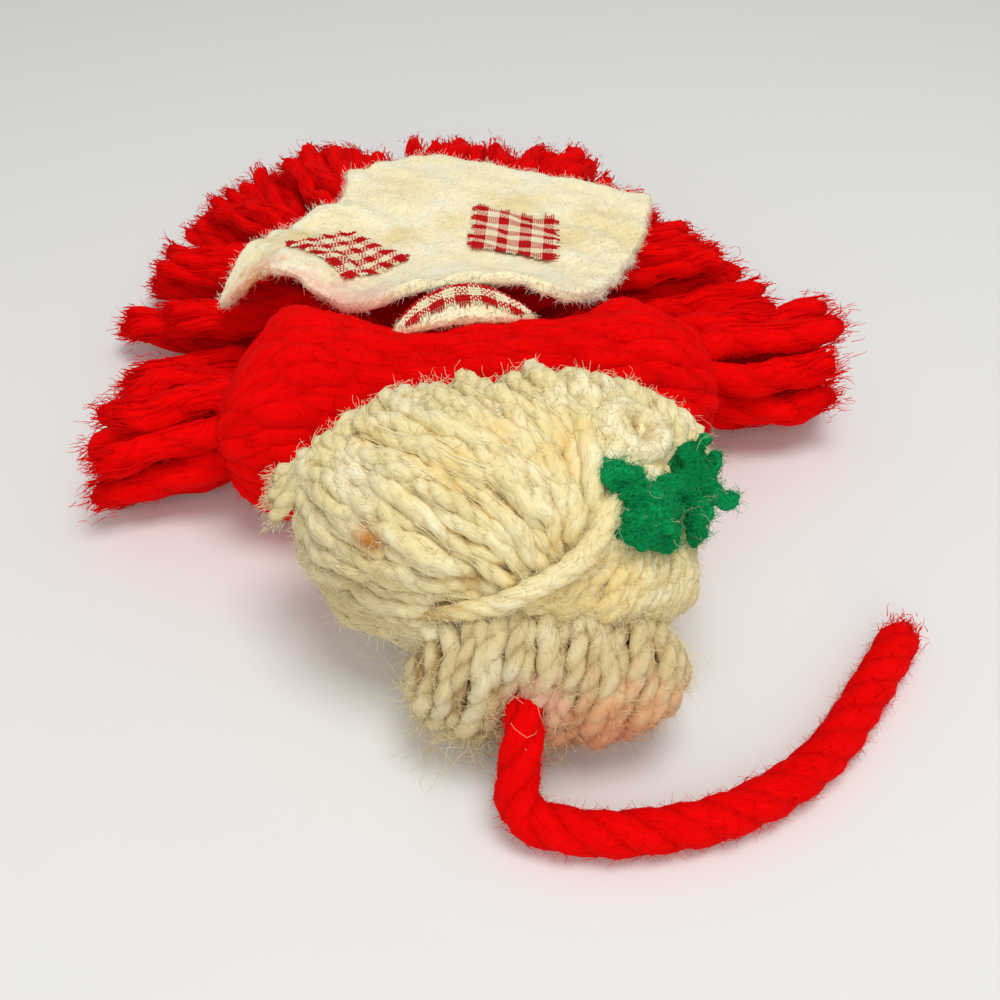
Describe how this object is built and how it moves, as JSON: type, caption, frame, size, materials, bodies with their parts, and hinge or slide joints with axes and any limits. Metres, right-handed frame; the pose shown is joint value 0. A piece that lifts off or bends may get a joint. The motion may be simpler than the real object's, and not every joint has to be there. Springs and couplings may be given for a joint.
{
  "type": "yarn doll",
  "caption": "Doll of tied yarn lying on its back: wound hair with a bun and a sprig, bundled arms, a fanned skirt, a felt apron with gingham patches and a hanging cord.",
  "frame": {"origin": "on the surface that the doll lies on, in the middle of the flat under the chest", "axes": "+Y from the head to the skirt along the doll, +Z away from the surface, towards the doll's front, +X to the doll's right hand"},
  "size_m": [0.0932, 0.1344, 0.0312],
  "materials": {
    "red_yarn": "soft twisted acrylic yarn, matte and fuzzy",
    "cream_yarn": "soft two-ply acrylic yarn, matte and fuzzy",
    "green_yarn": "felted acrylic yarn, matte",
    "cream_felt": "thick aged felt, matte, with stains",
    "gingham": "woven cotton check in red and white",
    "skin_felt": "thin felt, matte",
    "black_bead": "glossy bead"
  },
  "bodies": {
    "torso": {"apron_bib": "cream_felt", "bib_patch": "gingham", "chest_roll": "red_yarn", "neck_tie": "red_yarn", "skirt_gather": "red_yarn", "skirt_lock_lower_01": "red_yarn", "skirt_lock_lower_02": "red_yarn", "skirt_lock_lower_03": "red_yarn", "skirt_lock_lower_04": "red_yarn", "skirt_lock_lower_05": "red_yarn", "skirt_lock_lower_06": "red_yarn", "skirt_lock_lower_07": "red_yarn", "skirt_lock_lower_08": "red_yarn", "skirt_lock_lower_09": "red_yarn", "skirt_lock_lower_10": "red_yarn", "skirt_lock_lower_11": "red_yarn", "skirt_lock_upper_01": "red_yarn", "skirt_lock_upper_02": "red_yarn", "skirt_lock_upper_03": "red_yarn", "skirt_lock_upper_04": "red_yarn", "skirt_lock_upper_05": "red_yarn", "skirt_lock_upper_06": "red_yarn", "skirt_lock_upper_07": "red_yarn", "skirt_lock_upper_08": "red_yarn", "torso_core": "red_yarn", "waist_tie": "red_yarn"},
    "apron": {"apron_felt": "cream_felt", "patch_left": "gingham", "patch_right": "gingham"},
    "arm_left": {"arm_left_root": "red_yarn", "arm_left_strand_1": "red_yarn", "arm_left_strand_2": "red_yarn", "arm_left_strand_3": "red_yarn", "arm_left_strand_4": "red_yarn", "arm_left_strand_5": "red_yarn"},
    "arm_right": {"arm_right_root": "red_yarn", "arm_right_strand_1": "red_yarn", "arm_right_strand_2": "red_yarn", "arm_right_strand_3": "red_yarn", "arm_right_strand_4": "red_yarn", "arm_right_strand_5": "red_yarn"},
    "head": {"bun_core": "cream_yarn", "bun_winding": "cream_yarn", "eye_left": "black_bead", "eye_right": "black_bead", "face": "skin_felt", "hair_cap": "cream_yarn", "hair_curl": "cream_yarn", "hair_lobe_right": "cream_yarn", "hair_strand": "cream_yarn", "hair_tuft_left": "cream_yarn", "hanging_cord": "red_yarn", "head_core": "cream_yarn", "holly_knot": "green_yarn", "holly_leaf_left": "green_yarn", "holly_leaf_low": "green_yarn", "holly_leaf_right": "green_yarn", "holly_leaf_top": "green_yarn", "mouth": "red_yarn"}
  },
  "joints": [
    {"name": "head_tilt", "type": "hinge", "parent": "torso", "child": "head", "pos_m": [0, -0.0139, 0.0078], "axis": [0, 0, 1], "range_deg": [-8, 8]},
    {"name": "arm_left_swing", "type": "hinge", "parent": "torso", "child": "arm_left", "pos_m": [-0.025, 0.0065, 0.009], "axis": [0, 1, 0], "range_deg": [0, 40]},
    {"name": "arm_right_swing", "type": "hinge", "parent": "torso", "child": "arm_right", "pos_m": [0.025, 0.0065, 0.009], "axis": [0, -1, 0], "range_deg": [0, 40]},
    {"name": "apron_lift", "type": "hinge", "parent": "torso", "child": "apron", "pos_m": [0, 0.0064, 0.01996], "axis": [1, 0, 0], "range_deg": [0, 80]}
  ]
}
